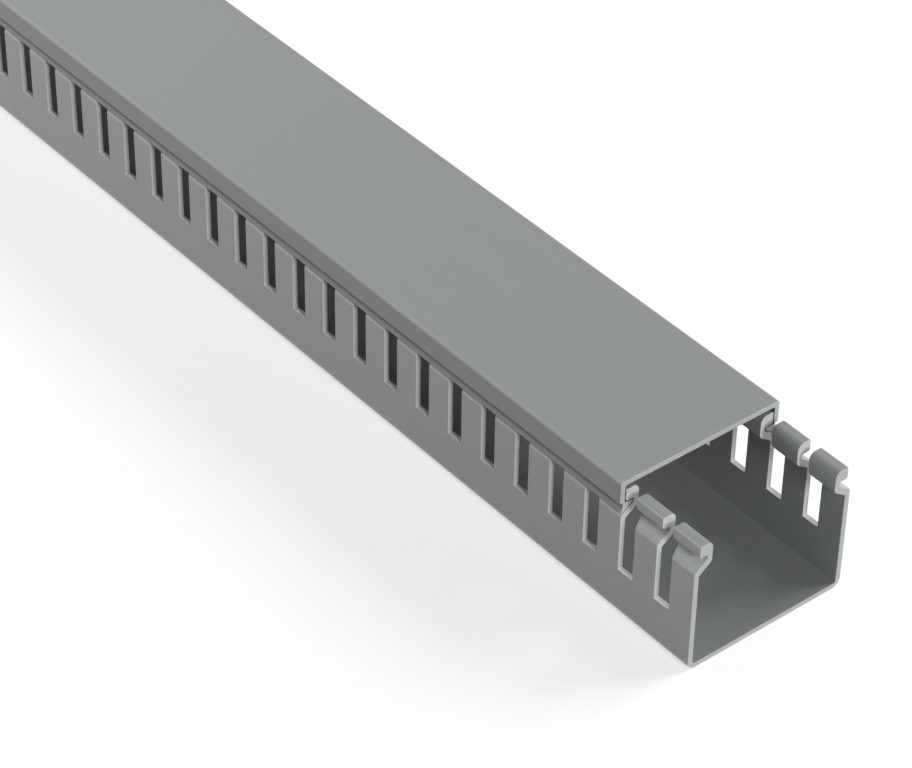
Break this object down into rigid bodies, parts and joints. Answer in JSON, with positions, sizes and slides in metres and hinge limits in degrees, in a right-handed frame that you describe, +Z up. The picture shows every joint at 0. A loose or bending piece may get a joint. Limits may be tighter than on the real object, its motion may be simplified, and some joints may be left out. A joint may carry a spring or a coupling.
{
  "type": "slotted wire duct",
  "caption": "Rigid plastic wiring duct: an open-top channel with slotted finger walls and hooked heads, closed by a clip-on cover that slides along it.",
  "frame": {"origin": "on the underside of the channel, halfway along and halfway across it", "axes": "+X along the duct towards its open end, +Z up out of the channel's mouth"},
  "size_m": [1.025, 0.0488, 0.0396],
  "materials": {
    "duct_base": "satin",
    "duct_cover": "satin"
  },
  "bodies": {
    "base": {"duct_base": "duct_base"},
    "cover": {"duct_cover": "duct_cover"}
  },
  "joints": [
    {"name": "cover_slide", "type": "slide", "parent": "base", "child": "cover", "axis": [1, 0, 0], "range_m": [-0.475, 0.025]}
  ]
}
